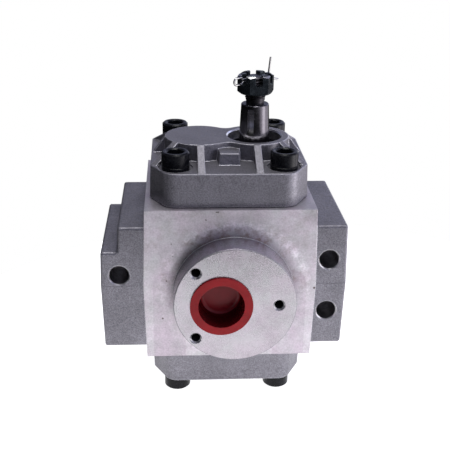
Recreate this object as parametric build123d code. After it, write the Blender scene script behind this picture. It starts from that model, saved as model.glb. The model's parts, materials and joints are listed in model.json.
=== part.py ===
from build123d import *
from math import atan, cos, pi, radians, sin, sqrt, tan
import os

# External gear pump with a tapered drive shaft, in millimetres.
# It is laid out about the middle of the body: X runs across the two gears,
# Y from the inlet to the outlet, and Z along the shafts towards the drive end.

# Gears
gear_teeth = 12
gear_module = 3.6
pressure_angle = 25.0
gear_width = 62.0
gear_backlash = 0.25
root_depth_factor = 1.25
flank_points = 5

# Gear shafts
journal_radius = 12.5
journal_end_gap = 0.6
cone_big_radius = 12.2
cone_taper = 12.0
cone_length = 32.7
cone_sunk = 7.0
thread_radius = 7.5
neck_radius = 7.1
neck_length = 3.0
thread_below_nut = 8.0
shaft_edge = 0.6
key_width = 5.0
key_disc_radius = 11.0
key_depth = 7.0
key_from_top = 13.0
key_angle = -110.7

# Castle nut and cotter pin
nut_flats = 25.0
nut_height = 15.5
nut_chamfer = 1.6
slot_width = 5.6
slot_depth = 8.6
shaft_below_nut_top = 2.0
pin_angle = 37.6
pin_wire_radius = 0.85
pin_leg_gap = 0.06
pin_hole_clearance = 0.15
pin_eye_height = 5.2
pin_eye_length = 6.8
pin_eye_neck = 1.8
pin_neck_bend = 1.2
pin_leg_bend = 1.6
pin_upright_length = 14.8
pin_upright_lean = 1.9
pin_tail_length = 10.4
pin_tail_drop = 2.8

# Clearances
running_clearance = 0.05
side_clearance = 0.1
tip_clearance = 0.15
bolt_clearance = 0.5
seal_clearance = 0.1
block_clearance = 0.05

# Body casting
body_width = 128.5
body_height = 123.0
face_to_gears = 63.4
gears_to_back = 57.8
draft_angle = 1.6

# Mounting ears
ear_setback = 0.5
ear_depth = 103.5
ear_top = 48.0
ear_bottom = 52.0
ear_overlap = 6.0
ear_fillet = 2.0
right_ear_reach = 89.8
left_ear_reach = 98.4
left_step_width = 12.7
left_step_height = 19.9
ear_hole_radius = 7.5
ear_hole_edge = 14.3
right_hole_spacing = 43.4
right_hole_mid = -1.5
left_hole_height = 9.0
hole_chamfer = 0.8

# Inlet boss and port
boss_radius = 46.2
boss_height = 21.8
boss_root_fillet = 0.5
boss_edge = 0.6
boss_x = 2.8
boss_z = -6.4
inlet_x = -7.6
inlet_radius = 20.7
inlet_depth = 40.0
inlet_throat_radius = 14.0
inlet_screw_radius = 3.4
inlet_screw_depth = 18.0
inlet_screw_chamfer = 1.3
inlet_screw_left = 29.6
inlet_screw_right = 32.8
inlet_screw_spacing = 53.9

# Outlet port
outlet_radius = 12.7
outlet_depth = 28.0
outlet_throat_radius = 9.0
outlet_screw_radius = 4.25
outlet_screw_depth = 20.0
outlet_screw_spacing_x = 26.2
outlet_screw_spacing_z = 52.4

# Covers
cover_width = 121.0
cover_depth = 118.0
cover_corner_x = 13.0
cover_corner_y = 23.9
cover_front_round = 12.0
cover_side_round = 3.0
cover_draft = 2.0
cover_edge = 0.8
joint_edge = 1.0
front_cover_thickness = 26.2
rear_cover_thickness = 26.5
front_land_height = 12.9
rear_land_height = 8.0
land_wall = 1.65
land_waist_fillet = 8.0
land_draft = 4.0
rib_width = 5.3
rib_edge_margin = 2.4
pad_width = 14.4
pad_front = 36.5
pad_drop = 4.0
pad_flare = 4.0
pad_draft = 6.0
pad_edge = 0.6

# Bolts and dowels
bolt_spacing = 81.5
bolt_radius = 7.0
bolt_head_radius = 10.5
bolt_head_height = 14.0
bolt_head_chamfer = 1.2
bolt_grip = 26.0
tapped_extra = 6.0
hex_key = 12.0
hex_depth = 8.0
hex_mouth = 0.9
front_bolt_turns = (8, 21, 47, 33)
rear_bolt_turns = (15, 40, 5, 27)
spotface_radius = 13.0
front_spotface_depth = 1.4
rear_spotface_depth = 0.6
dowel_radius = 4.0
dowel_half_length = 9.0
dowel_edge = 0.5
dowel_y = 44.0

# Bearing blocks, bushes and seals
bush_wall = 1.5
bush_recess = 2.4
body_seal_inset = 3.0
body_seal_width = 2.6
body_seal_depth = 2.0
pressure_seal_inset = 3.0
pressure_seal_width = 2.6
pressure_seal_depth = 2.2
shaft_seal_radius = 21.0
shaft_seal_height = 8.0
seal_case_wall = 1.0
seal_lip_wall = 1.2
seal_spring_radius = 0.7
ring_thickness = 1.75
ring_groove_depth = 1.3
ring_width = 3.2
ring_gap_angle = 30.0
ring_lug_angle = 10.0
ring_lug_radius = 3.0
ring_lug_hole = 1.25
seal_mouth_chamfer = 1.0
shaft_hole_clearance = 1.0

# Port plugs
plug_flange_width = 2.9
plug_flange_thickness = 1.6
plug_wall = 3.3
plug_taper = 4.0
plug_depth = 17.0
plug_floor = 2.0
plug_floor_round = 4.0
outlet_plug_depth = 13.0
outlet_plug_wall = 2.4
outlet_floor_round = 2.5
plug_clearance = 0.08

# Sizes that follow from the ones above
gear_x = gear_teeth * gear_module / 2
tip_radius = gear_x + gear_module
root_radius = gear_x - root_depth_factor * gear_module
chamber_radius = tip_radius + tip_clearance
half_height = body_height / 2
block_height = half_height - gear_width / 2 - side_clearance
bush_radius = journal_radius + running_clearance + bush_wall
bush_length = block_height - bush_recess
draft_slope = tan(radians(draft_angle))
parting_half_width = body_width / 2 + half_height * draft_slope
land_radius = chamber_radius + land_wall
land_top = half_height + front_cover_thickness + front_land_height
cone_start = land_top - cone_sunk
cone_end = cone_start + cone_length
cone_small_radius = cone_big_radius - cone_length / cone_taper / 2
nut_bottom = cone_end + thread_below_nut
nut_top = nut_bottom + nut_height
thread_end = nut_top - shaft_below_nut_top
pin_height = nut_top - slot_depth / 2
seal_pocket_depth = cone_sunk + ring_thickness + shaft_seal_height
seal_base = land_top - seal_pocket_depth
stand_height = half_height + rear_cover_thickness - rear_spotface_depth + bolt_head_height
corner_spots = [(sx * bolt_spacing / 2, sy * bolt_spacing / 2) for sx in (-1, 1) for sy in (-1, 1)]

mounting_face = Plane(origin=(0, -face_to_gears, 0), x_dir=(1, 0, 0), z_dir=(0, -1, 0)).location
boss_face = mounting_face * Pos(0, 0, boss_height)
outlet_face = Plane(origin=(0, gears_to_back, 0), x_dir=(-1, 0, 0), z_dir=(0, 1, 0)).location
body_top = Pos(0, 0, half_height)
body_bottom = Pos(0, 0, -half_height) * Rot(180, 0, 0)


# Shared shapes
def figure_eight(radius):
    return Pos(-gear_x, 0) * Circle(radius) + Pos(gear_x, 0) * Circle(radius)


def column(radius, height):
    return Cylinder(radius, height, align=(Align.CENTER, Align.CENTER, Align.MIN))


def sunk(radius, depth, chamfer_size=0.0):
    """A cutting tool for a hole whose mouth is at z = 0 and which runs down to -depth."""
    tool = Pos(0, 0, -depth) * column(radius, depth + 1)
    if chamfer_size:
        wide = radius + chamfer_size
        mouth = Cone(radius, wide, chamfer_size, align=(Align.CENTER, Align.CENTER, Align.MIN))
        tool += Pos(0, 0, -chamfer_size) * mouth
    return tool


def turned(*points):
    """A solid of revolution about Z from an outline of (radius, height) points."""
    return revolve(Plane.XZ * Polygon(*points, align=None), Axis.Z)


# Body casting
def block_outline():
    top = body_width / 2
    return Polygon(
        (-top, half_height), (-parting_half_width, 0), (-top, -half_height),
        (top, -half_height), (parting_half_width, 0), (top, half_height), align=None)


def ear(outline, side):
    """An ear casting, its outline given in X and Z, with every edge outside the block rounded."""
    front = -face_to_gears + ear_setback
    solid = extrude(Plane.XZ.offset(-front) * outline, amount=ear_depth, dir=(0, 1, 0))
    inner = body_width / 2 - ear_overlap
    outside = [e for e in solid.edges()
               if side * e.center().X > inner + 1 and abs(e.center().Z) > ear_fillet / 2]
    return fillet(outside, ear_fillet)


def right_ear():
    inner = body_width / 2 - ear_overlap
    top = right_ear_reach - ear_top * draft_slope
    bottom = right_ear_reach - ear_bottom * draft_slope
    return ear(Polygon(
        (inner, ear_top), (inner, -ear_bottom), (bottom, -ear_bottom),
        (right_ear_reach, 0), (top, ear_top), align=None), 1)


def left_ear():
    inner = body_width / 2 - ear_overlap
    ledge = ear_top - left_step_height
    ledge_reach = left_ear_reach - ledge * draft_slope
    step = ledge_reach - left_step_width
    return ear(Polygon(
        (-inner, ear_top), (-(step - left_step_height * draft_slope), ear_top), (-step, ledge),
        (-ledge_reach, ledge), (-left_ear_reach, 0),
        (-(left_ear_reach - ear_bottom * draft_slope), -ear_bottom),
        (-inner, -ear_bottom), align=None), -1)


def ear_holes():
    spots = [
        (-(left_ear_reach - ear_hole_edge), left_hole_height),
        (right_ear_reach - ear_hole_edge, right_hole_mid + right_hole_spacing / 2),
        (right_ear_reach - ear_hole_edge, right_hole_mid - right_hole_spacing / 2)]
    tool = sunk(ear_hole_radius, ear_depth + 1, hole_chamfer)
    back = Pos(0, 0, -ear_depth) * Rot(180, 0, 0) * sunk(ear_hole_radius, 1, hole_chamfer)
    face = mounting_face * Pos(0, 0, -ear_setback)
    return [face * Pos(x, z, 0) * (tool + back) for x, z in spots]


def inlet_cuts():
    to_gears = face_to_gears + boss_height
    port = boss_face * Pos(inlet_x, boss_z, 0)
    cuts = [port * sunk(inlet_radius, inlet_depth), port * sunk(inlet_throat_radius, to_gears)]
    spots = [
        (boss_x - inlet_screw_left, boss_z + inlet_screw_spacing / 2),
        (boss_x - inlet_screw_left, boss_z - inlet_screw_spacing / 2),
        (boss_x + inlet_screw_right, boss_z)]
    screw = sunk(inlet_screw_radius, inlet_screw_depth, inlet_screw_chamfer)
    return cuts + [boss_face * Pos(x, z, 0) * screw for x, z in spots]


def outlet_cuts():
    cuts = [outlet_face * sunk(outlet_radius, outlet_depth)]
    cuts.append(outlet_face * sunk(outlet_throat_radius, gears_to_back))
    screw = sunk(outlet_screw_radius, outlet_screw_depth, hole_chamfer)
    for sx in (-1, 1):
        for sz in (-1, 1):
            spot = Pos(sx * outlet_screw_spacing_x / 2, sz * outlet_screw_spacing_z / 2, 0)
            cuts.append(outlet_face * spot * screw)
    return cuts


def body_seal_outline():
    inner = chamber_radius + body_seal_inset
    return figure_eight(inner + body_seal_width) - figure_eight(inner)


def joint_face_cuts(face):
    """Tapped bolt holes, dowel holes and the seal groove in a machined end of the body."""
    tapped_depth = bolt_grip + tapped_extra
    cuts = [face * Pos(x, y, 0) * sunk(bolt_radius, tapped_depth, hole_chamfer) for x, y in corner_spots]
    cuts += [face * Pos(0, y, 0) * sunk(dowel_radius, dowel_half_length) for y in (-dowel_y, dowel_y)]
    cuts.append(face * extrude(body_seal_outline(), amount=-body_seal_depth))
    return cuts


def pump_body():
    block = extrude(
        Plane.XZ.offset(face_to_gears) * block_outline(),
        amount=face_to_gears + gears_to_back, dir=(0, 1, 0))
    boss = mounting_face * Pos(boss_x, boss_z, -1) * column(boss_radius, boss_height + 1)
    casting = block + right_ear() + left_ear() + boss
    rims = [e for e in casting.edges().filter_by(GeomType.CIRCLE) if abs(e.radius - boss_radius) < 0.01]
    casting = fillet([e for e in rims if abs(e.center().Y + face_to_gears) < 0.1], boss_root_fillet)
    tip_y = -face_to_gears - boss_height
    rims = [e for e in casting.edges().filter_by(GeomType.CIRCLE) if abs(e.radius - boss_radius) < 0.01]
    casting = chamfer([e for e in rims if abs(e.center().Y - tip_y) < 0.1], boss_edge)
    casting -= Pos(0, 0, -half_height) * extrude(figure_eight(chamber_radius), amount=body_height)
    for cut in inlet_cuts() + outlet_cuts() + ear_holes():
        casting -= cut
    for cut in joint_face_cuts(body_top) + joint_face_cuts(body_bottom):
        casting -= cut
    return casting


# Covers
def cover_outline():
    half_x, half_y = cover_width / 2, cover_depth / 2
    flat_x, flat_y = half_x - cover_corner_x, half_y - cover_corner_y
    outline = Polygon(
        (-flat_x, -half_y), (flat_x, -half_y), (half_x, -flat_y), (half_x, flat_y),
        (flat_x, half_y), (-flat_x, half_y), (-half_x, flat_y), (-half_x, -flat_y), align=None)
    ends = [v for v in outline.vertices() if abs(abs(v.Y) - half_y) < 0.01]
    outline = fillet(ends, cover_front_round)
    sides = [v for v in outline.vertices() if abs(abs(v.X) - half_x) < 0.01]
    return fillet(sides, cover_side_round)


def land(height):
    """The raised casting over both gears, with its waist blended."""
    lobe = land_radius + height * tan(radians(land_draft))
    blend_y = sqrt((lobe + land_waist_fillet) ** 2 - gear_x ** 2)
    share = lobe / (lobe + land_waist_fillet)
    waist = Rectangle(2 * gear_x * (1 - share), 2 * blend_y * share)
    for y in (-blend_y, blend_y):
        waist -= Pos(0, y) * Circle(land_waist_fillet)
    return extrude(figure_eight(lobe) + waist, amount=height, taper=land_draft)


def rib(centre_x, angle, reach, height):
    """A rib that falls from the top of the land to the plate, at reach from the lobe's centre."""
    outline = Polygon((0, 0), (reach, 0), (land_radius, height), (0, height), align=None)
    plate = extrude(Plane.XZ * outline, amount=rib_width / 2, both=True)
    return Pos(centre_x, 0, 0) * Rot(0, 0, angle) * plate


def cover_ribs(height):
    along = cover_depth / 2 - rib_edge_margin
    across = cover_width / 2 - gear_x - rib_edge_margin
    corner_slope = cover_corner_y / cover_corner_x
    edge_sum = (cover_width / 2 - gear_x) * corner_slope + cover_depth / 2 - cover_corner_y
    diagonal = edge_sum / (1 + corner_slope) * sqrt(2) - rib_edge_margin
    ribs = []
    for side in (-1, 1):
        outward = 0 if side > 0 else 180
        ribs += [rib(side * gear_x, a, along, height) for a in (90, -90)]
        ribs.append(rib(side * gear_x, outward, across, height))
        ribs += [rib(side * gear_x, outward + a, diagonal, height) for a in (45, -45)]
    return ribs


def cover_blank(thickness, land_height, spotface_depth):
    """A cover standing on its joint face: the drafted plate, the land, ribs and bolt seats."""
    plate = extrude(cover_outline(), amount=thickness, taper=cover_draft)
    plate = chamfer(plate.faces().sort_by(Axis.Z)[0].edges(), joint_edge)
    cover = fillet(plate.faces().sort_by(Axis.Z)[-1].edges(), cover_edge)
    on_plate = Pos(0, 0, thickness)
    cover += on_plate * land(land_height)
    for each in cover_ribs(land_height):
        cover += on_plate * each
    seat = Pos(0, 0, -spotface_depth) * column(spotface_radius, land_height + spotface_depth + 1)
    for x, y in corner_spots:
        cover -= Pos(x, y, thickness) * seat
        cover -= Pos(x, y, thickness) * sunk(bolt_radius + bolt_clearance, thickness + 1)
    for y in (-dowel_y, dowel_y):
        cover -= Pos(0, y, -1) * column(dowel_radius, dowel_half_length + 1)
    return cover


def front_pad():
    """The flat-topped lug in front of the waist, wider towards the land and towards its foot."""
    height = front_land_height - pad_drop
    spread = height * tan(radians(pad_draft))
    front, near = pad_width / 2 + spread, pad_front + spread
    back = front + near * tan(radians(pad_flare))
    foot = Polygon((-front, -near), (front, -near), (back, 0), (-back, 0), align=None)
    pad = extrude(foot, amount=height, taper=pad_draft)
    return fillet([e for e in pad.edges() if e.center().Y < -pad_front / 4 and e.center().Z > 0], pad_edge)


def shaft_pocket():
    """The stepped hole for the shaft seal and its retaining ring, from the top of the land down."""
    full = front_cover_thickness + front_land_height
    pocket = sunk(shaft_seal_radius, seal_pocket_depth, seal_mouth_chamfer)
    pocket += sunk(journal_radius + shaft_hole_clearance, full + 1)
    groove = column(shaft_seal_radius + ring_groove_depth, ring_thickness + side_clearance)
    return pocket + Pos(0, 0, -cone_sunk - ring_thickness) * groove


def front_cover():
    cover = cover_blank(front_cover_thickness, front_land_height, front_spotface_depth)
    cover += Pos(0, 0, front_cover_thickness) * front_pad()
    cover -= Pos(gear_x, 0, front_cover_thickness + front_land_height) * shaft_pocket()
    return body_top * cover


def rear_cover():
    return body_bottom * cover_blank(rear_cover_thickness, rear_land_height, rear_spotface_depth)


# Bolts and dowels
def cap_screw(grip_length):
    """A socket head screw with the underside of its head at z = 0."""
    head = chamfer(
        column(bolt_head_radius, bolt_head_height).faces().sort_by(Axis.Z)[-1].edges(),
        bolt_head_chamfer)
    socket = extrude(RegularPolygon(hex_key / 2, 6, major_radius=False), amount=-hex_depth)
    socket += Pos(0, 0, -hex_mouth / 2) * Cone(hex_key / 2, hex_key / 2 + 2 * hex_mouth, hex_mouth)
    head -= Pos(0, 0, bolt_head_height) * socket
    shank = Pos(0, 0, -grip_length) * column(bolt_radius, grip_length)
    return head + shank


def cover_bolts(face, seat, turns):
    """Four screws whose heads sit at a height of seat above the joint face."""
    screw = cap_screw(seat + bolt_grip)
    return [face * Pos(x, y, seat) * Rot(0, 0, turn) * screw for (x, y), turn in zip(corner_spots, turns)]


def dowels(face):
    pin = Pos(0, 0, -dowel_half_length) * column(dowel_radius, 2 * dowel_half_length)
    pin = chamfer(pin.edges().filter_by(GeomType.CIRCLE), dowel_edge)
    return [face * Pos(0, y, 0) * pin for y in (-dowel_y, dowel_y)]


# Gears and shafts
def flank_point(base_radius, roll, base_angle):
    """A point of the involute flank, as (x, y), at a roll angle from the base circle."""
    radius = base_radius * sqrt(1 + roll * roll)
    angle = base_angle - (roll - atan(roll))
    return radius * cos(angle), radius * sin(angle)


def turned_point(point, angle):
    x, y = point
    return x * cos(angle) - y * sin(angle), x * sin(angle) + y * cos(angle)


def gear_outline():
    alpha = radians(pressure_angle)
    base_radius = gear_x * cos(alpha)
    thickness_angle = pi / (2 * gear_teeth) - gear_backlash / (4 * gear_x)
    base_angle = thickness_angle + tan(alpha) - alpha
    tip_roll = sqrt((tip_radius / base_radius) ** 2 - 1)
    rolls = [tip_roll * i / (flank_points - 1) for i in range(flank_points)]
    flank = [flank_point(base_radius, roll, base_angle) for roll in rolls]
    other = [(x, -y) for x, y in flank]
    pitch = 2 * pi / gear_teeth
    foot = (base_radius + root_radius) / 2
    left_foot = (foot * cos(base_angle), foot * sin(base_angle))
    root = (root_radius * cos(pitch / 2), root_radius * sin(pitch / 2))
    next_foot = turned_point((left_foot[0], -left_foot[1]), pitch)
    next_base = turned_point(other[0], pitch)
    edges = []
    for tooth in range(gear_teeth):
        turn = tooth * pitch
        edges.append(Spline(*[turned_point(p, turn) for p in other]))
        tip = [turned_point(p, turn) for p in (other[-1], (tip_radius, 0), flank[-1])]
        edges.append(ThreePointArc(*tip))
        edges.append(Spline(*[turned_point(p, turn) for p in reversed(flank)]))
        edges.append(Line(turned_point(flank[0], turn), turned_point(left_foot, turn)))
        edges.append(ThreePointArc(*[turned_point(p, turn) for p in (left_foot, root, next_foot)]))
        edges.append(Line(turned_point(next_foot, turn), turned_point(next_base, turn)))
    return make_face(edges)


def gear_with_journals(turn):
    gear = Pos(0, 0, -gear_width / 2) * extrude(Rot(0, 0, turn) * gear_outline(), amount=gear_width)
    bottom = -half_height + journal_end_gap
    return gear + Pos(0, 0, bottom) * column(journal_radius, -bottom)


def idler_gear_shaft():
    shaft = gear_with_journals(0)
    shaft += column(journal_radius, half_height - journal_end_gap)
    return Pos(-gear_x, 0, 0) * shaft


def drive_gear_shaft():
    shaft = gear_with_journals(180 / gear_teeth)
    shaft += column(journal_radius, cone_start)
    shaft += turned(
        (0, cone_start), (cone_big_radius, cone_start),
        (cone_small_radius, cone_end - shaft_edge), (cone_small_radius - shaft_edge, cone_end),
        (neck_radius, cone_end), (neck_radius, cone_end + neck_length),
        (thread_radius, cone_end + neck_length), (thread_radius, thread_end - 2 * shaft_edge),
        (thread_radius - 2 * shaft_edge, thread_end), (0, thread_end))
    hub_radius = cone_big_radius + (cone_small_radius - cone_big_radius) * (
        cone_length - key_from_top) / cone_length
    disc = Rot(90, 0, 0) * Cylinder(key_disc_radius, key_width)
    centre_out = hub_radius - key_depth + key_disc_radius
    shaft -= Rot(0, 0, key_angle) * Pos(centre_out, 0, cone_end - key_from_top) * disc
    hole = pin_wire_radius * 2 + pin_leg_gap / 2 + pin_hole_clearance
    shaft -= Rot(0, 0, pin_angle) * Pos(0, 0, pin_height) * Rot(0, 90, 0) * Cylinder(
        hole, 4 * thread_radius)
    return Pos(gear_x, 0, 0) * shaft


def castle_nut():
    hexagon = RegularPolygon(nut_flats / 2, 6, rotation=30, major_radius=False)
    nut = extrude(hexagon, amount=nut_height)
    corner = nut_flats / sqrt(3)
    rise = (corner - nut_flats / 2 + nut_chamfer) * tan(radians(30))
    envelope = turned(
        (0, 0), (nut_flats / 2 - nut_chamfer / 2, 0), (corner, rise), (corner, nut_height - rise),
        (nut_flats / 2 - nut_chamfer, nut_height), (0, nut_height))
    nut = nut & envelope
    nut -= Pos(0, 0, -1) * column(thread_radius, nut_height + 2)
    round_bottom = nut_height - slot_depth + slot_width / 2
    slot = Pos(0, 0, round_bottom) * Rot(0, 90, 0) * Cylinder(slot_width / 2, 2 * nut_flats)
    slot += Pos(0, 0, round_bottom) * Box(
        2 * nut_flats, slot_width, nut_height, align=(Align.CENTER, Align.CENTER, Align.MIN))
    for turn in (0, 60, 120):
        nut -= Rot(0, 0, turn) * slot
    return Pos(gear_x, 0, nut_bottom) * Rot(0, 0, pin_angle) * nut


def cotter_pin():
    """One wire folded double: an eye at one slot, one leg bent up and one left long at the other."""
    leg = pin_wire_radius + pin_leg_gap
    outside = nut_flats / 2 + pin_wire_radius + seal_clearance
    eye_in = -outside - pin_eye_neck
    eye_out = eye_in - pin_eye_length
    half_eye = pin_eye_height / 2
    path = FilletPolyline(
        (outside + pin_upright_lean, pin_upright_length), (outside, leg), (-outside, leg),
        (eye_in, half_eye), (eye_out, half_eye), (eye_out, -half_eye), (eye_in, -half_eye),
        (-outside, -leg), (outside, -leg), (outside + pin_tail_length, -leg - pin_tail_drop),
        radius=[pin_leg_bend, pin_neck_bend, pin_neck_bend, half_eye - pin_leg_gap,
                half_eye - pin_leg_gap, pin_neck_bend, pin_neck_bend, pin_leg_bend])
    upright = Plane.XZ * path
    start = Plane(origin=upright @ 0, z_dir=upright % 0)
    wire = sweep(start * Circle(pin_wire_radius), path=upright)
    return Pos(gear_x, 0, pin_height) * Rot(0, 0, pin_angle) * wire


# Bearing blocks, bushes and seals
def pressure_seal_outline():
    outer = chamber_radius - pressure_seal_inset
    ring = figure_eight(outer) - figure_eight(outer - pressure_seal_width)
    outlet_side = Pos(0, chamber_radius) * Rectangle(4 * gear_x + 4 * chamber_radius, 2 * chamber_radius)
    return ring & outlet_side


def pressure_seal(face, side):
    seal = extrude(pressure_seal_outline(), amount=-pressure_seal_depth)
    return face * Rot(0, 0, 0 if side > 0 else 180) * seal


def bearing_block(face, side):
    """A block that carries both journals, with its outer face against the cover."""
    block = extrude(figure_eight(chamber_radius - block_clearance), amount=-block_height)
    for x in (-gear_x, gear_x):
        block -= Pos(x, 0, 1) * Rot(180, 0, 0) * column(bush_radius, block_height + 2)
    return face * block - pressure_seal(face, side)


def bush(face, x):
    tube = column(bush_radius, bush_length) - Pos(0, 0, -1) * column(
        journal_radius + running_clearance, bush_length + 2)
    return face * Pos(x, 0, -block_height) * tube


def body_seal(face):
    return face * extrude(body_seal_outline(), amount=-body_seal_depth)


def shaft_seal_case():
    inner = (journal_radius + shaft_seal_radius) / 2
    outline = turned(
        (inner, 0), (shaft_seal_radius, 0), (shaft_seal_radius, shaft_seal_height),
        (inner, shaft_seal_height), (inner, shaft_seal_height - seal_case_wall),
        (shaft_seal_radius - seal_case_wall, shaft_seal_height - seal_case_wall),
        (shaft_seal_radius - seal_case_wall, seal_case_wall), (inner, seal_case_wall))
    return Pos(gear_x, 0, seal_base) * outline


def shaft_seal_lip():
    """The rubber of the seal: a web on the case and a lip that leans on the journal."""
    lip = journal_radius + seal_clearance
    web = (journal_radius + shaft_seal_radius) / 2
    low, high = seal_case_wall, shaft_seal_height - seal_case_wall
    outline = turned(
        (lip, low), (lip + seal_lip_wall, low), (web - seal_lip_wall, high - seal_lip_wall),
        (shaft_seal_radius - seal_case_wall, high - seal_lip_wall),
        (shaft_seal_radius - seal_case_wall, high), (lip + seal_lip_wall, high))
    return Pos(gear_x, 0, seal_base) * outline


def shaft_seal_spring():
    lip = journal_radius + seal_clearance
    return Pos(gear_x, 0, seal_base + seal_case_wall - seal_spring_radius / 4) * Torus(
        lip + seal_lip_wall + 2 * seal_spring_radius, seal_spring_radius)


def retaining_ring():
    """An internal ring that is open at the back, with a plier hole in each lug."""
    outer = shaft_seal_radius + ring_groove_depth - side_clearance
    inner = outer - ring_width
    gap = Rot(0, 0, 90) * Polygon(
        (0, 0), (2 * outer, -2 * outer * tan(radians(ring_gap_angle / 2))),
        (2 * outer, 2 * outer * tan(radians(ring_gap_angle / 2))), align=None)
    flat = Circle(outer) - Circle(inner) - gap
    lug_at = shaft_seal_radius - ring_lug_radius - side_clearance
    for side in (-1, 1):
        turn = 90 + side * (ring_gap_angle / 2 + ring_lug_angle)
        spot = Rot(0, 0, turn) * Pos(lug_at, 0)
        flat += spot * Circle(ring_lug_radius)
        flat -= spot * Circle(ring_lug_hole)
    ring = extrude(flat, amount=ring_thickness)
    return Pos(gear_x, 0, land_top - cone_sunk - ring_thickness) * ring


# Port plugs
def port_plug(bore_radius, wall, depth, floor_round):
    """A push-in cup with its flange on the face at z = 0 and its body running down the bore."""
    outer = bore_radius - plug_clearance
    narrow = outer - (depth + plug_floor) * tan(radians(plug_taper))
    mouth = outer - wall
    floor_radius = narrow - wall + plug_floor * tan(radians(plug_taper))
    flange = bore_radius + plug_flange_width
    top = plug_flange_thickness
    cup = turned(
        (0, -depth - plug_floor), (narrow, -depth - plug_floor), (outer, 0), (flange, 0),
        (flange, top), (0, top))
    hollow = turned((0, -depth), (floor_radius, -depth), (mouth, 0), (mouth, top + 1), (0, top + 1))
    low = [e for e in hollow.edges().filter_by(GeomType.CIRCLE) if abs(e.center().Z + depth) < 0.01]
    return cup - fillet(low, floor_round)


def inlet_port_plug():
    plug = port_plug(inlet_radius, plug_wall, plug_depth, plug_floor_round)
    return boss_face * Pos(inlet_x, boss_z, 0) * plug


def outlet_port_plug():
    plug = port_plug(outlet_radius, outlet_plug_wall, outlet_plug_depth, outlet_floor_round)
    return outlet_face * plug


# The pieces, each in its own node
nodes = {
    "pump_body": pump_body(),
    "front_cover": front_cover(),
    "rear_cover": rear_cover(),
    "front_cover_bolts": cover_bolts(body_top, front_cover_thickness - front_spotface_depth, front_bolt_turns),
    "rear_cover_bolts": cover_bolts(body_bottom, rear_cover_thickness - rear_spotface_depth, rear_bolt_turns),
    "front_dowel_pins": dowels(body_top),
    "rear_dowel_pins": dowels(body_bottom),
    "front_body_seal": body_seal(body_top),
    "rear_body_seal": body_seal(body_bottom),
    "front_bearing_block": bearing_block(body_top, 1),
    "rear_bearing_block": bearing_block(body_bottom, -1),
    "front_pressure_seal": pressure_seal(body_top, 1),
    "rear_pressure_seal": pressure_seal(body_bottom, -1),
    "front_drive_bush": bush(body_top, gear_x),
    "front_idler_bush": bush(body_top, -gear_x),
    "rear_drive_bush": bush(body_bottom, gear_x),
    "rear_idler_bush": bush(body_bottom, -gear_x),
    "shaft_seal_case": shaft_seal_case(),
    "shaft_seal_lip": shaft_seal_lip(),
    "shaft_seal_spring": shaft_seal_spring(),
    "retaining_ring": retaining_ring(),
    "drive_gear_shaft": drive_gear_shaft(),
    "castle_nut": castle_nut(),
    "cotter_pin": cotter_pin(),
    "idler_gear_shaft": idler_gear_shaft(),
    "inlet_port_plug": inlet_port_plug(),
    "outlet_port_plug": outlet_port_plug(),
}

# The origin is under the middle of the pump's box, level with the undersides of the rear bolt heads.
front_reach = face_to_gears + boss_height + plug_flange_thickness
back_reach = gears_to_back + plug_flange_thickness
to_origin = Pos(
    (left_ear_reach - right_ear_reach) / 2, (front_reach - back_reach) / 2, stand_height)

os.makedirs("parts", exist_ok=True)
for name, shape in nodes.items():
    solids = shape if isinstance(shape, list) else [shape]
    group = Compound(children=[to_origin * solid for each in solids for solid in each.solids()])
    export_step(group, f"parts/{name}.step")
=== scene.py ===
import json
import math
import bmesh
import bpy
from mathutils import Matrix, Vector


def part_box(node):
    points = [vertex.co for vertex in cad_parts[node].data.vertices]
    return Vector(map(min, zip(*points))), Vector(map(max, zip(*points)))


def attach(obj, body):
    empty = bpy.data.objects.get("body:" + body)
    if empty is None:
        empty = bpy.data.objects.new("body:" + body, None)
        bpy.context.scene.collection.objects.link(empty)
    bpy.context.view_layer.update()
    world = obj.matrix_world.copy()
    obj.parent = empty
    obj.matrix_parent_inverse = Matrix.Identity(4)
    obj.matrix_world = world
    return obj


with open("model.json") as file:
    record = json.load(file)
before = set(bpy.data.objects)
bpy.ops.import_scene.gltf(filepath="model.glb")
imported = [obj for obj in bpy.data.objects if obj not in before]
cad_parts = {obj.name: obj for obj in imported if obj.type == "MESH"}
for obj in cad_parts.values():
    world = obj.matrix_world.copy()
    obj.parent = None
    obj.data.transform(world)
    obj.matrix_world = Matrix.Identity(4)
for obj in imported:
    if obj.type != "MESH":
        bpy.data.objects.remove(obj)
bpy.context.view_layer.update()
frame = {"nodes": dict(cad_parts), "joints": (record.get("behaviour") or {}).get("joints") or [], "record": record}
nodes = frame["nodes"]
mounts = {m["name"]: m for m in frame["record"]["mounts"]}
print("frame loaded:", len(nodes), "nodes")


# places read from the frame, in metres
def mountAt(name):
    return Vector(mounts[name]["pos_m"])


bodyFaceY = mountAt("body_face").y
inletFaceY = mountAt("inlet_face").y
outletFaceY = mountAt("outlet_face").y
spigot = mountAt("inlet_spigot")
spigotRadius = mounts["inlet_spigot"]["dims"]["r_mm"] / 1000
driveAxis = next(Vector(j["pos_m"]) for j in frame["joints"] if j["name"] == "drive_spin")
idlerAxis = next(Vector(j["pos_m"]) for j in frame["joints"] if j["name"] == "idler_spin")
partingX = (driveAxis.x + idlerAxis.x) / 2
nutLow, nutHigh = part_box("castle_nut")
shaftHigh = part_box("drive_gear_shaft")[1]
bodyLow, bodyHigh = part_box("pump_body")
bodyTopZ, bodyBottomZ = bodyHigh.z, bodyLow.z
boltLow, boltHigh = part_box("front_cover_bolts")
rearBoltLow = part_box("rear_cover_bolts")[0]
boltHeadRadius, boltHeadHeight = 0.0105, 0.014
partingZ = (bodyTopZ + bodyBottomZ) / 2


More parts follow.
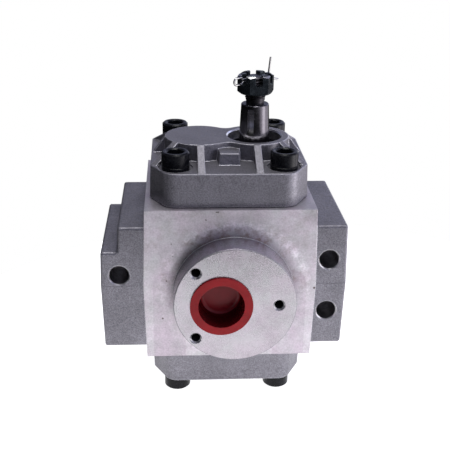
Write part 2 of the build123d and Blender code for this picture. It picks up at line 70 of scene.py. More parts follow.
# small node helpers
def newMaterial(name):
    material = bpy.data.materials.new(name)
    material.use_nodes = True
    tree = material.node_tree
    return material, tree, tree.nodes["Principled BSDF"]


def addNode(tree, kind, inputs=None, **settings):
    node = tree.nodes.new(kind)
    for key, value in settings.items():
        setattr(node, key, value)
    for key, value in (inputs or {}).items():
        if isinstance(value, bpy.types.NodeSocket):
            tree.links.new(value, node.inputs[key])
        else:
            node.inputs[key].default_value = value
    return node


# the object's own coordinates, in metres, stretched by scale
def placeOf(tree, scale=(1, 1, 1), turn=(0, 0, 0)):
    coords = addNode(tree, "ShaderNodeTexCoord")
    mapping = addNode(tree, "ShaderNodeMapping", {"Vector": coords.outputs["Object"]})
    mapping.inputs["Scale"].default_value = scale
    mapping.inputs["Rotation"].default_value = turn
    return mapping.outputs["Vector"]


# noise with features of about size metres
def noiseOf(tree, place, size, detail=3.0, rough=0.55):
    node = addNode(tree, "ShaderNodeTexNoise", {"Vector": place})
    node.inputs["Scale"].default_value = 1 / size
    node.inputs["Detail"].default_value = detail
    node.inputs["Roughness"].default_value = rough
    return node.outputs["Fac"]


def rampOf(tree, fac, stops):
    node = addNode(tree, "ShaderNodeValToRGB", {"Fac": fac})
    ramp = node.color_ramp
    while len(ramp.elements) < len(stops):
        ramp.elements.new(0.5)
    for element, (at, colour) in zip(ramp.elements, stops):
        element.position = at
        element.color = colour if len(colour) == 4 else (*colour, 1)
    return node.outputs["Color"]


def grey(value):
    return (value, value, value)


def mixOf(tree, fac, a, b, mode="MIX"):
    node = addNode(tree, "ShaderNodeMix", data_type="RGBA", blend_type=mode)
    for key, value in ((0, fac), (6, a), (7, b)):
        if isinstance(value, bpy.types.NodeSocket):
            tree.links.new(value, node.inputs[key])
        elif isinstance(value, tuple):
            node.inputs[key].default_value = (*value, 1)
        else:
            node.inputs[key].default_value = value
    return node.outputs[2]


def mathOf(tree, operation, a, b=None, clamp=False):
    node = addNode(tree, "ShaderNodeMath", operation=operation, use_clamp=clamp)
    for index, value in enumerate((a, b)):
        if value is None:
            continue
        if isinstance(value, bpy.types.NodeSocket):
            tree.links.new(value, node.inputs[index])
        else:
            node.inputs[index].default_value = value
    return node.outputs[0]


def rangeOf(tree, value, low, high, outLow, outHigh):
    node = addNode(tree, "ShaderNodeMapRange", {"Value": value})
    for key, number in (("From Min", low), ("From Max", high), ("To Min", outLow), ("To Max", outHigh)):
        node.inputs[key].default_value = number
    return node.outputs["Result"]


def bumpOf(tree, height, distance, strength=1.0, after=None):
    node = addNode(tree, "ShaderNodeBump", {"Height": height, "Distance": distance, "Strength": strength})
    if after is not None:
        tree.links.new(after, node.inputs["Normal"])
    return node.outputs["Normal"]


# a normal that rounds sharp edges by radius metres
def softEdge(tree, radius):
    node = addNode(tree, "ShaderNodeBevel", samples=4)
    node.inputs["Radius"].default_value = radius
    return node.outputs["Normal"]


# how far the softened edge normal leaves the flat one: 0 on faces, 1 on sharp edges
def edgeWearAndGlint(tree, edge, low, high):
    flatNormal = addNode(tree, "ShaderNodeNewGeometry").outputs["True Normal"]
    along = addNode(tree, "ShaderNodeVectorMath", {0: edge, 1: flatNormal}, operation="DOT_PRODUCT")
    return rangeOf(tree, mathOf(tree, "SUBTRACT", 1.0, along.outputs["Value"]), low, high, 0.0, 1.0)


# 1 within half a width of a level height, in metres, and 0 elsewhere
def lineAt(tree, height, width):
    coords = addNode(tree, "ShaderNodeTexCoord")
    level = addNode(tree, "ShaderNodeSeparateXYZ", {"Vector": coords.outputs["Object"]}).outputs["Z"]
    away = mathOf(tree, "ABSOLUTE", mathOf(tree, "SUBTRACT", level, height))
    return rangeOf(tree, away, 0.0, width, 1.0, 0.0)


# distance from an axis through centre, in metres
def ringRadius(tree, centre, across=("X", "Z")):
    coords = addNode(tree, "ShaderNodeTexCoord")
    parts = addNode(tree, "ShaderNodeSeparateXYZ", {"Vector": coords.outputs["Object"]})
    squares = []
    for axis, middle in zip(across, centre):
        offset = mathOf(tree, "SUBTRACT", parts.outputs[axis], middle)
        squares.append(mathOf(tree, "MULTIPLY", offset, offset))
    return mathOf(tree, "SQRT", mathOf(tree, "ADD", *squares))


def feed(tree, shader, key, socket):
    tree.links.new(socket, shader.inputs[key])


# castings: grit-blasted aluminium
castLook = {"dark": (0.122, 0.118, 0.132), "light": (0.285, 0.275, 0.304), "grain": 0.0010, "blotch": 0.030,
            "roughLow": 0.42, "roughHigh": 0.60, "grainHeight": 0.00018, "edge": 0.0011,
            "wearAndGlint": (0.86, 0.85, 0.90), "flash": 0.00035, "flashHeight": 0.0004}


def castAluminium():
    material, tree, shader = newMaterial("castAluminium")
    place = placeOf(tree)
    grain = noiseOf(tree, place, castLook["grain"], 4.0, 0.7)
    pores = noiseOf(tree, place, castLook["grain"] * 2.7, 2.0)
    blotch = noiseOf(tree, place, castLook["blotch"], 4.0, 0.6)
    speckle = rampOf(tree, grain, [(0.30, castLook["dark"]), (0.62, castLook["light"])])
    tone = rampOf(tree, blotch, [(0.30, grey(0.80)), (0.70, grey(1.06))])
    colour = mixOf(tree, 1.0, speckle, tone, "MULTIPLY")
    edge = softEdge(tree, castLook["edge"])
    # edges, hollow and raised alike, are lightened towards near white: partly rubbed metal, partly a painted highlight
    # for the edges' catch lights
    wearAndGlintMask = mathOf(tree, "MULTIPLY", edgeWearAndGlint(tree, edge, 0.01, 0.13), rangeOf(tree, pores, 0.35, 0.6, 0.45, 1.0))
    feed(tree, shader, "Base Color", mixOf(tree, wearAndGlintMask, colour, castLook["wearAndGlint"]))
    rough = rangeOf(tree, pores, 0.3, 0.7, castLook["roughLow"], castLook["roughHigh"])
    feed(tree, shader, "Roughness", mathOf(tree, "SUBTRACT", rough, mathOf(tree, "MULTIPLY", wearAndGlintMask, 0.12)))
    shader.inputs["Metallic"].default_value = 0.85
    height = mathOf(tree, "ADD", mathOf(tree, "MULTIPLY", grain, 0.6), mathOf(tree, "MULTIPLY", pores, 0.7))
    grained = bumpOf(tree, height, castLook["grainHeight"], 0.8, edge)
    feed(tree, shader, "Normal", bumpOf(tree, lineAt(tree, partingZ, castLook["flash"]), castLook["flashHeight"],
                                        1.0, grained))
    return material


# the machined front face: milled straight, then turned in a ring round the boss
millLook = {"dark": (0.37, 0.345, 0.37), "light": (0.68, 0.642, 0.68), "ring": 0.0615, "stain": (0.20, 0.145, 0.12),
            "roughLow": 0.38, "roughHigh": 0.50, "pitch": 0.00045, "lineHeight": 0.000012, "edge": 0.0007,
            "band": (0.0515, 0.0560, 0.0612), "highlightBandTone": 1.55, "cutter": 0.0125, "cutterX": 0.0465,
            "speck": (0.10, 0.075, 0.07), "metallic": 0.72, "root": 0.0058, "rootShadeTone": 0.22}


# long fine scratches that run one way across the face
def millLines(tree, turn, size):
    place = placeOf(tree, (1.0, 1.0, 0.035), (0, turn, 0))
    return noiseOf(tree, place, size, 3.0, 0.6)


def machinedBase(tree, shader, look, lines):
    place = placeOf(tree)
    haze = noiseOf(tree, place, 0.020, 6.0, 0.72)
    fine = noiseOf(tree, place, 0.0013, 3.0, 0.7)
    tone = mixOf(tree, 0.42, haze, fine)
    colour = rampOf(tree, tone, [(0.32, look["dark"]), (0.66, look["light"])])
    tint = rampOf(tree, noiseOf(tree, place, 0.013, 3.0), [(0.35, (1.03, 0.98, 1.01)), (0.65, (0.98, 1.01, 0.98))])
    colour = mixOf(tree, 1.0, colour, tint, "MULTIPLY")
    feed(tree, shader, "Roughness", rangeOf(tree, haze, 0.3, 0.75, look["roughLow"], look["roughHigh"]))
    shader.inputs["Metallic"].default_value = look["metallic"]
    edge = softEdge(tree, look["edge"])
    feed(tree, shader, "Normal", bumpOf(tree, lines, look["lineHeight"], 0.7, edge))
    return colour


def machinedFace():
    material, tree, shader = newMaterial("machinedFace")
    radius = ringRadius(tree, (spigot.x, spigot.z))
    straight = millLines(tree, math.radians(8), 0.0007)
    crossed = millLines(tree, math.radians(-62), 0.0009)
    turned = mathOf(tree, "SINE", mathOf(tree, "MULTIPLY", radius, 2 * math.pi / millLook["pitch"]))
    inRing = rangeOf(tree, radius, millLook["ring"] - 0.0006, millLook["ring"] + 0.0006, 1.0, 0.0)
    outer = mixOf(tree, 0.5, straight, crossed)
    inner = mixOf(tree, 0.45, crossed, turned)
    lines = mixOf(tree, inRing, outer, inner)
    colour = machinedBase(tree, shader, millLook, lines)
    # painted highlight: a streaky lighter ring round the boss, stronger above its centre
    inner, middle, outer = millLook["band"]
    rise = rangeOf(tree, radius, inner, middle, 0.0, 1.0)
    band = mathOf(tree, "MULTIPLY", rise, rangeOf(tree, radius, middle, outer, 1.0, 0.0))
    streak = noiseOf(tree, placeOf(tree), 0.006, 4.0, 0.6)
    band = mathOf(tree, "MULTIPLY", band, rangeOf(tree, streak, 0.40, 0.58, 0.15, 1.0))
    coords = addNode(tree, "ShaderNodeTexCoord")
    level = addNode(tree, "ShaderNodeSeparateXYZ", {"Vector": coords.outputs["Object"]}).outputs["Z"]
    band = mathOf(tree, "MULTIPLY", band, rangeOf(tree, level, spigot.z - 0.02, spigot.z + 0.03, 0.15, 1.0))
    colour = mixOf(tree, band, colour, mixOf(tree, 1.0, colour, grey(millLook["highlightBandTone"]), "MULTIPLY"))
    colour = mixOf(tree, cutterPath(tree), colour, mixOf(tree, 1.0, colour, (0.90, 0.87, 0.895), "MULTIPLY"))
    # painted shade in the corner round the boss, thickest at the upper left
    spots = addNode(tree, "ShaderNodeVectorMath", {0: coords.outputs["Object"], 1: (-0.574, 0.0, 0.819)},
                    operation="DOT_PRODUCT").outputs["Value"]
    middle = -0.574 * spigot.x + 0.819 * spigot.z
    upperLeftShade = rangeOf(tree, spots, middle + 0.010, middle + 0.046, 0.30, 1.0)
    root = rangeOf(tree, radius, spigotRadius, spigotRadius + millLook["root"], 1.0, 0.0)
    root = mathOf(tree, "MULTIPLY", root, mathOf(tree, "MULTIPLY", upperLeftShade, rangeOf(tree, streak, 0.35, 0.6, 0.75, 1.0)))
    colour = mixOf(tree, root, colour, mixOf(tree, 1.0, colour, grey(millLook["rootShadeTone"]), "MULTIPLY"))
    stainNoise = noiseOf(tree, placeOf(tree), 0.009, 6.0, 0.75)
    nearBoss = rangeOf(tree, radius, spigotRadius, millLook["ring"], 1.0, 0.25)
    nearBoss = mathOf(tree, "MULTIPLY", nearBoss, rangeOf(tree, level, spigot.z - 0.01, spigot.z + 0.04, 0.2, 1.0))
    stain = mathOf(tree, "MULTIPLY", rangeOf(tree, stainNoise, 0.50, 0.66, 0.0, 0.95), nearBoss)
    colour = mixOf(tree, stain, colour, millLook["stain"])
    speck = rangeOf(tree, noiseOf(tree, placeOf(tree), 0.0042, 2.0, 0.4), 0.74, 0.78, 0.0, 0.9)
    feed(tree, shader, "Base Color", mixOf(tree, speck, colour, millLook["speck"]))
    return material


# the two lanes beside the boss where an end mill ran down from just above the parting line
def cutterPath(tree):
    coords = addNode(tree, "ShaderNodeTexCoord")
    parts = addNode(tree, "ShaderNodeSeparateXYZ", {"Vector": coords.outputs["Object"]})
    fromMiddle = mathOf(tree, "ABSOLUTE", mathOf(tree, "SUBTRACT", parts.outputs["X"], partingX))
    offX = mathOf(tree, "SUBTRACT", fromMiddle, millLook["cutterX"])
    offZ = mathOf(tree, "MAXIMUM", mathOf(tree, "SUBTRACT", parts.outputs["Z"], partingZ), 0.0)
    reach = mathOf(tree, "SQRT", mathOf(tree, "ADD", mathOf(tree, "MULTIPLY", offX, offX),
                                        mathOf(tree, "MULTIPLY", offZ, offZ)))
    return rangeOf(tree, reach, millLook["cutter"] - 0.0003, millLook["cutter"] + 0.0003, 1.0, 0.0)


def machinedEnds(name="machinedEnds", share=1.0):
    material, tree, shader = newMaterial(name)
    place = placeOf(tree, (0.035, 1.0, 1.0))
    look = {**millLook, "dark": [v * share for v in millLook["dark"]], "light": [v * share for v in millLook["light"]]}
    colour = machinedBase(tree, shader, look, noiseOf(tree, place, 0.0007, 3.0, 0.6))
    feed(tree, shader, "Base Color", colour)
    return material


def turnedBoss(name="turnedBoss", dark=(0.38, 0.362, 0.395), light=(0.64, 0.612, 0.66), roughLow=0.16, roughHigh=0.26):
    material, tree, shader = newMaterial(name)
    radius = ringRadius(tree, (spigot.x, spigot.z))
    coords = addNode(tree, "ShaderNodeTexCoord")
    depth = addNode(tree, "ShaderNodeSeparateXYZ", {"Vector": coords.outputs["Object"]}).outputs["Y"]
    along = mathOf(tree, "ADD", radius, depth)
    waver = noiseOf(tree, placeOf(tree), 0.012, 2.0)
    phase = mathOf(tree, "MULTIPLY", along, 2 * math.pi / 0.00030)
    rings = mathOf(tree, "SINE", mathOf(tree, "ADD", phase, mathOf(tree, "MULTIPLY", waver, 3.0)))
    look = {**millLook, "dark": dark, "light": light, "roughLow": roughLow, "roughHigh": roughHigh,
            "lineHeight": 0.000006, "metallic": 0.95}
    colour = machinedBase(tree, shader, look, rings)
    feed(tree, shader, "Base Color", colour)
    return material


boreLook = {"dark": (0.30, 0.29, 0.30), "light": (0.55, 0.54, 0.55)}


def boredAluminium():
    material, tree, shader = newMaterial("boredAluminium")
    place = placeOf(tree)
    tone = noiseOf(tree, place, 0.004, 4.0, 0.6)
    feed(tree, shader, "Base Color", rampOf(tree, tone, [(0.3, boreLook["dark"]), (0.7, boreLook["light"])]))
    feed(tree, shader, "Roughness", rangeOf(tree, tone, 0.3, 0.7, 0.28, 0.46))
    shader.inputs["Metallic"].default_value = 1.0
    lines = noiseOf(tree, placeOf(tree, (0.1, 1.0, 0.1)), 0.0004, 2.0)
    feed(tree, shader, "Normal", bumpOf(tree, lines, 0.00001, 0.6))
    return material


# black oxide screws
screwLook = {"dark": (0.003, 0.003, 0.0045), "light": (0.008, 0.0085, 0.011), "edge": 0.0009, "ringAt": 0.0032,
             "ring": 0.0004, "ringDepth": 0.0005}


def blackSteel():
    material, tree, shader = newMaterial("blackSteel")
    place = placeOf(tree)
    film = noiseOf(tree, place, 0.004, 5.0, 0.65)
    feed(tree, shader, "Base Color", rampOf(tree, film, [(0.3, screwLook["dark"]), (0.72, screwLook["light"])]))
    feed(tree, shader, "Roughness", rangeOf(tree, film, 0.3, 0.7, 0.20, 0.32))
    shader.inputs["Metallic"].default_value = 0.0
    shader.inputs["Specular IOR Level"].default_value = 0.20
    grain = noiseOf(tree, place, 0.0008, 2.0)
    grained = bumpOf(tree, grain, 0.00001, 0.4, softEdge(tree, screwLook["edge"]))
    # the turned line round each head, a little above its seat
    front = lineAt(tree, boltHigh.z - boltHeadHeight + screwLook["ringAt"], screwLook["ring"])
    rear = lineAt(tree, rearBoltLow.z + boltHeadHeight - screwLook["ringAt"], screwLook["ring"])
    groove = mathOf(tree, "SUBTRACT", 1.0, mathOf(tree, "ADD", front, rear))
    feed(tree, shader, "Normal", bumpOf(tree, groove, screwLook["ringDepth"], 1.0, grained))
    return material


# ground and hardened steel
def steel(name, dark, light, roughLow, roughHigh, ringPitch=0.0006, metallic=1.0):
    material, tree, shader = newMaterial(name)
    place = placeOf(tree)
    film = noiseOf(tree, place, 0.006, 5.0, 0.7)
    rings = noiseOf(tree, placeOf(tree, (0.05, 0.05, 1.0)), ringPitch, 3.0, 0.6)
    tone = mixOf(tree, 0.4, film, rings)
    feed(tree, shader, "Base Color", rampOf(tree, tone, [(0.32, dark), (0.68, light)]))
    feed(tree, shader, "Roughness", rangeOf(tree, film, 0.3, 0.7, roughLow, roughHigh))
    shader.inputs["Metallic"].default_value = metallic
    edge = softEdge(tree, 0.0003)
    feed(tree, shader, "Normal", bumpOf(tree, rings, 0.000012, 0.6, edge))
    return material


plugLook = {"rim": ((0.22, 0.005, 0.008), (0.32, 0.009, 0.013)), "wall": ((0.050, 0.002, 0.003), (0.085, 0.003, 0.005)),
            "floor": ((0.20, 0.009, 0.013), (0.30, 0.014, 0.020))}


def redPlastic(part):
    material, tree, shader = newMaterial(part + "RedPlastic")
    place = placeOf(tree)
    tone = noiseOf(tree, place, 0.014, 3.0)
    dark, light = plugLook[part]
    feed(tree, shader, "Base Color", rampOf(tree, tone, [(0.3, dark), (0.7, light)]))
    feed(tree, shader, "Roughness", rangeOf(tree, tone, 0.3, 0.7, 0.16, 0.28))
    shader.inputs["Specular IOR Level"].default_value = 0.16
    orange = noiseOf(tree, place, 0.0022, 2.0)
    feed(tree, shader, "Normal", bumpOf(tree, orange, 0.00004, 0.4, softEdge(tree, 0.0006)))
    return material


def sealRubber():
    material, tree, shader = newMaterial("sealRubber")
    place = placeOf(tree)
    tone = noiseOf(tree, place, 0.003, 4.0)
    feed(tree, shader, "Base Color", rampOf(tree, tone, [(0.3, grey(0.012)), (0.7, grey(0.030))]))
    feed(tree, shader, "Roughness", rangeOf(tree, tone, 0.3, 0.7, 0.5, 0.7))
    feed(tree, shader, "Normal", bumpOf(tree, noiseOf(tree, place, 0.0006), 0.00003, 0.5))
    return material


def setMaterial(names, material):
    for name in names:
        mesh = nodes[name].data
        mesh.materials.clear()
        mesh.materials.append(material)


# give each facet of a CAD node one of the named materials
def paintFaces(name, materials, choose):
    mesh = nodes[name].data
    order = list(materials)
    mesh.materials.clear()
    for key in order:
        mesh.materials.append(materials[key])
    for facet in mesh.polygons:
        facet.material_index = order.index(choose(facet.center, facet.normal))


flat = 0.99  # facets whose normal lies this close to an axis count as facing it
near = 0.00008


def bodyFinish(at, normal):
    fromSpigot = math.hypot(at.x - spigot.x, at.z - spigot.z)
    if normal.y < -flat and abs(at.y - inletFaceY) < near:
        return "bossFace"
    if at.y < bodyFaceY - near and fromSpigot > spigotRadius - 0.002:
        return "boss" if abs(normal.y) < 0.1 else "bossEdgeShaded"
    if normal.y < -flat and abs(at.y - bodyFaceY) < near:
        return "face"
    if normal.y > flat and abs(at.y - outletFaceY) < near:
        return "ends"
    if abs(normal.z) > flat and (abs(at.z - bodyTopZ) < near or abs(at.z - bodyBottomZ) < near):
        return "joint"
    if inHole(at):
        # facets in the small tapped holes take the near-black colour of painted shade
        return "tapped" if abs(normal.y) < 0.2 and inTapped(at) else "bore"
    return "cast"


def holeSpots(mount):
    dims, (x, _, z) = mount["dims"], mount["pos_m"]
    halfX, halfZ = dims.get("spacing_x_mm", 0) / 2000, dims.get("spacing_y_mm", 0) / 2000
    return [(x + sx * halfX, z + sz * halfZ) for sx in (-1, 1) for sz in (-1, 1)]


# the places and radii of the holes along Y, as (x, z, radius)
def holeAxes():
    holes = []
    for mount in mounts.values():
        dims = mount["dims"]
        radius = dims.get("hole_r_mm", dims.get("r_mm"))
        if radius is None or mount["name"] == "inlet_spigot":
            continue
        holes += [(x, z, radius / 1000) for x, z in holeSpots(mount)]
    for plug in ("inlet_port_plug", "outlet_port_plug"):
        low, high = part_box(plug)
        holes.append(((low.x + high.x) / 2, (low.z + high.z) / 2, (high.x - low.x) / 2))
    return holes


holeList = holeAxes()
gearChamber = 0.0256


def inTapped(at):
    return any(radius < 0.005 and math.hypot(at.x - x, at.z - z) < radius * 1.15 for x, z, radius in holeList)


def inHole(at):
    for x, z, radius in holeList:
        if math.hypot(at.x - x, at.z - z) < radius * 1.25:
            return True
    if min(math.hypot(at.x - g.x, at.y - g.y) for g in (driveAxis, idlerAxis)) < gearChamber:
        return True
    return abs(at.z - bodyTopZ) < 0.034 and abs(at.x - partingX) < 0.050 and inBoltCircle(at)


boltOffset = (boltHigh.x - boltLow.x) / 2 - boltHeadRadius


def inBoltCircle(at):
    offX = abs(abs(at.x - partingX) - boltOffset)
    offY = abs(abs(at.y - driveAxis.y) - boltOffset)
    return math.hypot(offX, offY) < 0.0085


castMetal = castAluminium()
boredMetal = boredAluminium()
# the tapped holes' walls and threads get a near-black steel colour: painted shade inside the small holes
holeShadeMetal = steel("tappedHoleShade", (0.020, 0.020, 0.022), (0.060, 0.058, 0.062), 0.30, 0.45)
paintFaces("pump_body", {"cast": castMetal, "face": machinedFace(), "boss": turnedBoss(),
                         "bossFace": turnedBoss("bossFace", (0.28, 0.262, 0.28), (0.46, 0.437, 0.465), 0.22, 0.32),
                         # the boss's chamfer and root fillet: a rougher turned finish, with a darker colour that is
                         # painted shade muting their highlights
                         "bossEdgeShaded": turnedBoss("bossEdgeShaded", (0.20, 0.195, 0.21), (0.34, 0.33, 0.35), 0.5, 0.6),
                         # the joint faces take the machined finish at 0.85 of its tone: painted shade on the ledge
                         # under the covers
                         "ends": machinedEnds(), "joint": machinedEnds("jointFaceShaded", 0.85), "bore": boredMetal, "tapped": holeShadeMetal}, bodyFinish)


def coverFinish(low, high, jointZ):
    def choose(at, normal):
        if abs(normal.z) > flat and abs(at.z - jointZ) < near:
            return "bore"
        fromDrive = math.hypot(at.x - driveAxis.x, at.y - driveAxis.y)
        if fromDrive < 0.0232 and 0.3 < abs(normal.z) < 0.95:
            return "chamfer"
        return "bore" if fromDrive < 0.0228 or inBoltCircle(at) else "cast"
    return choose


chamferMetal = steel("turnedChamfer", (0.70, 0.70, 0.71), (0.92, 0.92, 0.93), 0.12, 0.22)
for cover, jointZ in (("front_cover", bodyTopZ), ("rear_cover", bodyBottomZ)):
    paintFaces(cover, {"cast": castMetal, "bore": boredMetal, "chamfer": chamferMetal},
               coverFinish(*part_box(cover), jointZ))

setMaterial(["front_cover_bolts", "rear_cover_bolts"], blackSteel())
shaftMetal = steel("shaftSteel", (0.098, 0.093, 0.105), (0.150, 0.142, 0.158), 0.14, 0.26)
gearMetal = steel("gearSteel", (0.22, 0.215, 0.21), (0.38, 0.37, 0.36), 0.22, 0.36)
setMaterial(["idler_gear_shaft", "front_dowel_pins", "rear_dowel_pins"], gearMetal)
setMaterial(["cotter_pin"], steel("pinSteel", (0.34, 0.34, 0.33), (0.52, 0.51, 0.50), 0.16, 0.26, ringPitch=0.006))
setMaterial(["shaft_seal_case", "shaft_seal_spring", "retaining_ring"],
            steel("springSteel", (0.05, 0.05, 0.055), (0.13, 0.13, 0.14), 0.30, 0.45))
setMaterial(["front_bearing_block", "rear_bearing_block"], boredMetal)
setMaterial(["front_drive_bush", "front_idler_bush", "rear_drive_bush", "rear_idler_bush"],
            steel("bearingBronze", (0.36, 0.22, 0.10), (0.56, 0.38, 0.18), 0.28, 0.42))
setMaterial(["front_body_seal", "rear_body_seal", "front_pressure_seal", "rear_pressure_seal",
             "shaft_seal_lip"], sealRubber())


# the inside of the cup lies in its own shade, and looks darker than its rim and outside
def plugFinish(low, high):
    middle, radius = (low + high) / 2, (high.x - low.x) / 2

    def choose(at, normal):
        out = at - middle
        outside = out.x * normal.x + out.z * normal.z > 0 and abs(normal.y) < 0.9
        end = abs(normal.y) > flat and min(abs(at.y - low.y), abs(at.y - high.y)) < near
        if outside or end or math.hypot(out.x, out.z) > radius * 0.80:
            return "rim"
        return "floor" if abs(normal.y) > 0.8 else "wall"
    return choose


plugRed = {part: redPlastic(part) for part in plugLook}
for plug in ("inlet_port_plug", "outlet_port_plug"):
    paintFaces(plug, plugRed, plugFinish(*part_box(plug)))

# the drive shaft: a ground cone, a milled keyseat and a dark thread
shaftLook = {"keyAngle": -110.7, "keyWidth": 0.0051, "coneTop": 0.0080, "coneRadius": 0.0122, "coneSmall": 0.01084,
             "coneLength": 0.0327, "seatLit": 0.0165, "seatDark": 0.0225}  # coneTop is measured down from the nut


def shaftFinish(at, normal):
    coneTop = nutLow.z - shaftLook["coneTop"]
    if at.z > coneTop - near:
        return "thread"
    turn = math.radians(shaftLook["keyAngle"])
    outX, outY = at.x - driveAxis.x, at.y - driveAxis.y
    out = outX * math.cos(turn) + outY * math.sin(turn)
    aside = abs(outY * math.cos(turn) - outX * math.sin(turn))
    down = (coneTop - at.z) / shaftLook["coneLength"]
    cone = shaftLook["coneSmall"] + (shaftLook["coneRadius"] - shaftLook["coneSmall"]) * down
    inSeat = 0.0 < down < 1.0 and 0 < out and aside < shaftLook["keyWidth"] / 2 + near
    return "seat" if inSeat and math.hypot(outX, outY) < cone - 0.0003 else "ground"


# fade a material's colour from its full tone at high to a share of it at low
def darkenBelow(material, low, high, share):
    tree = material.node_tree
    shader = tree.nodes["Principled BSDF"]
    colour = shader.inputs["Base Color"].links[0].from_socket
    coords = addNode(tree, "ShaderNodeTexCoord")
    level = addNode(tree, "ShaderNodeSeparateXYZ", {"Vector": coords.outputs["Object"]}).outputs["Z"]
    fade = rangeOf(tree, level, low, high, share, 1.0)
    feed(tree, shader, "Base Color", mixOf(tree, 1.0, colour, fade, "MULTIPLY"))


# a lighter, rougher milled finish for the keyseat, whose colour fades to 0.08 of its tone towards its lower end as
# painted shade for the dark it faces there
seatSteel = steel("seatSteel", (0.50, 0.49, 0.50), (0.66, 0.65, 0.66), 0.36, 0.48)
darkenBelow(seatSteel, nutLow.z - shaftLook["coneTop"] - shaftLook["seatDark"], nutLow.z - shaftLook["coneTop"] -
            shaftLook["seatLit"], 0.08)
threadSteel = steel("threadSteel", (0.022, 0.021, 0.024), (0.055, 0.052, 0.058), 0.26, 0.40)
paintFaces("drive_gear_shaft", {"ground": shaftMetal, "seat": seatSteel, "thread": threadSteel}, shaftFinish)

# the nut is blackened; its upper outer chamfers get a light steel colour as a painted highlight
nutBlack = steel("nutBlack", (0.012, 0.016, 0.020), (0.036, 0.045, 0.054), 0.20, 0.34, metallic=0.7)
nutChamferHighlight = steel("nutChamferHighlight", (0.40, 0.40, 0.41), (0.75, 0.75, 0.76), 0.16, 0.30)


def nutFinish(at, normal):
    slope = abs(normal.z)
    outside = math.hypot(at.x - driveAxis.x, at.y - driveAxis.y) > 0.0118
    return "chamferHighlight" if 0.3 < slope < 0.95 and outside and at.z > (nutLow.z + nutHigh.z) / 2 else "black"


paintFaces("castle_nut", {"black": nutBlack, "chamferHighlight": nutChamferHighlight}, nutFinish)
print("materials set on", len(nodes), "nodes")


# a screw thread: a ridge that winds along an axis from start, standing from root to crest
threadLook = {"shaft": {"root": 0.00746, "crest": 0.00800, "pitch": 0.0020},
              "inlet": {"root": 0.00342, "crest": 0.00302, "pitch": 0.00125, "depth": 0.0120},
              "outlet": {"root": 0.00427, "crest": 0.00382, "pitch": 0.00150, "depth": 0.0140}}


def threadRidge(name, start, along, length, look, material, body, steps=32):
    across = Vector((1, 0, 0))
    other = along.cross(across)
    count = int(length / look["pitch"] * steps)
    profile = ((0, -0.44), (1, -0.08), (1, 0.08), (0, 0.44))  # share of the height, share of the pitch
    build = bmesh.new()
    rows = []
    for step in range(count + 1):
        turn = 2 * math.pi * step / steps
        fade = max(0.02, min(1.0, step / (steps / 3), (count - step) / (steps / 3)))
        out = math.cos(turn) * across + math.sin(turn) * other
        row = []
        for height, lead in profile:
            radius = look["root"] + (look["crest"] - look["root"]) * height * fade
            level = look["pitch"] * (step / steps + lead)
            row.append(build.verts.new(start + radius * out + level * along))
        rows.append(row)
    for low, high in zip(rows, rows[1:]):
        for k in range(4):
            build.faces.new((low[k], low[(k + 1) % 4], high[(k + 1) % 4], high[k]))
    build.faces.new(rows[0])
    build.faces.new(rows[-1])
    bmesh.ops.recalc_face_normals(build, faces=build.faces)
    mesh = bpy.data.meshes.new(name)
    build.to_mesh(mesh)
    build.free()
    piece = bpy.data.objects.new(name, mesh)
    bpy.context.collection.objects.link(piece)
    mesh.materials.append(material)
    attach(piece, body)


def makeThreads():
    shaft = threadLook["shaft"]
    bottom = nutLow.z - shaftLook["coneTop"] + 0.0030 + shaft["pitch"] / 2
    top = shaftHigh.z - 0.0012 - shaft["pitch"] / 2
    start = Vector((driveAxis.x, driveAxis.y, bottom))
    threadRidge("shaftThread", start, Vector((0, 0, 1)), top - bottom, shaft, threadSteel, "drive_shaft",
                48)
    for side, faceY, names in (("inlet", inletFaceY, ("inlet_left_screw_holes", "inlet_right_screw_hole")),
                               ("outlet", outletFaceY, ("outlet_screw_holes",))):
        look = threadLook[side]
        inwards = Vector((0, 1 if side == "inlet" else -1, 0))
        spots = {(round(x, 6), round(z, 6)) for name in names for x, z in holeSpots(mounts[name])}
        for index, (x, z) in enumerate(sorted(spots)):
            start = Vector((x, faceY, z)) + inwards * 0.0022
            # the ridges carry the same near-black painted shade as the hole walls
            threadRidge(f"{side}Thread{index + 1}", start, inwards, look["depth"], look, holeShadeMetal, "housing")


makeThreads()
print("threads made")

# floor, light and camera
stageLook = {"radius": 0.37, "centre": (0.07, -0.045, 0), "floor": (0.82, 0.82, 0.82), "glow": 1.0}


def makeFloor():
    mesh = bpy.data.meshes.new("floor")
    build = bmesh.new()
    bmesh.ops.create_circle(build, cap_ends=True, radius=stageLook["radius"], segments=96)
    build.to_mesh(mesh)
    build.free()
    floor = bpy.data.objects.new("floor", mesh)
    bpy.context.collection.objects.link(floor)
    floor.location = stageLook["centre"]
    material, tree, shader = newMaterial("floorPaper")
    shader.inputs["Base Color"].default_value = (*stageLook["floor"], 1)
    shader.inputs["Roughness"].default_value = 0.9
    shader.inputs["Specular IOR Level"].default_value = 0.1
    shader.inputs["Emission Color"].default_value = (1, 1, 1, 1)
    shader.inputs["Emission Strength"].default_value = stageLook["glow"]
    mesh.materials.append(material)


# each light: where it hangs, what it points at, its width and height in metres, watts and colour
lightLook = {
    "overhead": ((0.02, 0.02, 1.20), (0.0, 0.0, 0.15), (0.75, 0.60), 8.0, (1.0, 1.0, 1.0)),
    "rightStrip": ((0.44, -0.12, 0.20), (0.03, 0.02, 0.20), (0.20, 0.40), 0.6, (1.0, 0.98, 0.98)),
    "leftCard": ((-0.75, -0.20, 0.45), (0.0, 0.0, 0.12), (0.30, 0.50), 0.3, (0.95, 0.97, 1.0)),
}


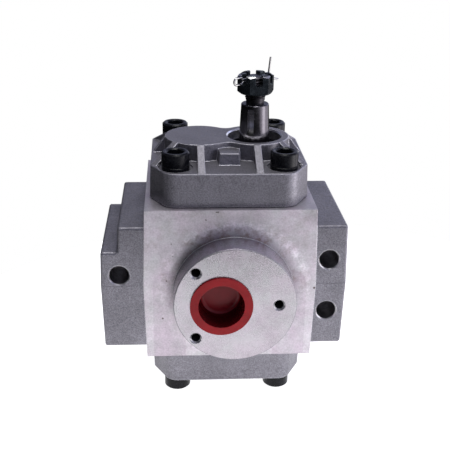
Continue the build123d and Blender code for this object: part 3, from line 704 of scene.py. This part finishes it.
def makeLight(name, place, target, size, watts, colour):
    light = bpy.data.lights.new(name, "AREA")
    light.shape = "RECTANGLE"
    light.size, light.size_y = size
    light.energy = watts
    light.color = colour
    lamp = bpy.data.objects.new(name, light)
    bpy.context.collection.objects.link(lamp)
    lamp.location = place
    lamp.rotation_euler = (Vector(target) - Vector(place)).to_track_quat("-Z", "Y").to_euler()
    lamp.visible_camera = False


# the studio by height, from straight down to straight up: a low band, dark on the left, and a bluish wall
skyLook = {"low": [(0.440, grey(0.0)), (0.470, (0.90, 0.91, 0.98)), (0.560, (0.60, 0.61, 0.70)), (0.640, grey(0.0))],
           "high": [(0.500, grey(0.05)), (0.610, (0.30, 0.32, 0.45)), (0.700, (0.50, 0.52, 0.76)),
                    (0.800, (0.18, 0.18, 0.25)), (1.000, (0.20, 0.20, 0.25))],
           "right": [(0.180, grey(0.0)), (0.260, (1.65, 1.57, 1.70)), (0.420, (1.45, 1.38, 1.50)), (0.480, grey(0.0))],
           "lowSides": (0.03, 1.35), "highSides": (0.25, 1.55), "backdrop": (1.0, 1.0, 1.0)}


def timesOf(tree, colour, factor):
    node = addNode(tree, "ShaderNodeVectorMath", {0: colour, "Scale": factor}, operation="SCALE")
    return node.outputs["Vector"]


def makeSky():
    world = bpy.data.worlds.new("studio")
    bpy.context.scene.world = world
    world.use_nodes = True
    tree = world.node_tree
    coords = addNode(tree, "ShaderNodeTexCoord")
    parts = addNode(tree, "ShaderNodeSeparateXYZ", {"Vector": coords.outputs["Generated"]})
    upwards = rangeOf(tree, parts.outputs["Z"], -1, 1, 0, 1)
    lowSide = rangeOf(tree, parts.outputs["X"], 0.05, 0.45, *skyLook["lowSides"])
    highSide = rangeOf(tree, parts.outputs["X"], -0.5, 0.5, *skyLook["highSides"])
    low = timesOf(tree, rampOf(tree, upwards, skyLook["low"]), lowSide)
    high = timesOf(tree, rampOf(tree, upwards, skyLook["high"]), highSide)
    right = timesOf(tree, rampOf(tree, upwards, skyLook["right"]), rangeOf(tree, parts.outputs["X"], 0.50, 0.76, 0, 1))
    right = timesOf(tree, right, rangeOf(tree, parts.outputs["Y"], 0.48, 0.70, 1, 0))
    studio = addNode(tree, "ShaderNodeVectorMath", {0: low, 1: high}, operation="ADD").outputs["Vector"]
    studio = addNode(tree, "ShaderNodeVectorMath", {0: studio, 1: right}, operation="ADD").outputs["Vector"]
    seen = addNode(tree, "ShaderNodeLightPath").outputs["Is Camera Ray"]
    tree.links.new(mixOf(tree, seen, studio, skyLook["backdrop"]), tree.nodes["Background"].inputs["Color"])


cameraLook = {"place": (-0.0364, -0.6181, 0.3864), "down": 22.43, "right": 3.64, "roll": 0.82,
              "focal": 830.8, "picture": 450}  # angles in degrees, focal length and width in pixels


def makeCamera():
    down, right, roll = (math.radians(cameraLook[k]) for k in ("down", "right", "roll"))
    forward = Vector((math.sin(right) * math.cos(down), math.cos(right) * math.cos(down), -math.sin(down)))
    side = Vector((math.cos(right), -math.sin(right), 0))
    up = side.cross(forward)
    rolledSide = math.cos(roll) * side + math.sin(roll) * up
    rolledUp = math.cos(roll) * up - math.sin(roll) * side
    axes = Matrix((rolledSide, rolledUp, -forward)).transposed().to_4x4()
    data = bpy.data.cameras.new("camera")
    data.sensor_width = 36
    data.lens = cameraLook["focal"] / cameraLook["picture"] * data.sensor_width
    data.clip_start = 0.01
    camera = bpy.data.objects.new("camera", data)
    bpy.context.collection.objects.link(camera)
    camera.matrix_world = Matrix.Translation(cameraLook["place"]) @ axes
    bpy.context.scene.camera = camera


makeFloor()
for lightName, settings in lightLook.items():
    makeLight(lightName, *settings)
makeSky()
makeCamera()
bpy.context.scene.view_settings.view_transform = "Standard"
print("floor, light and camera made")
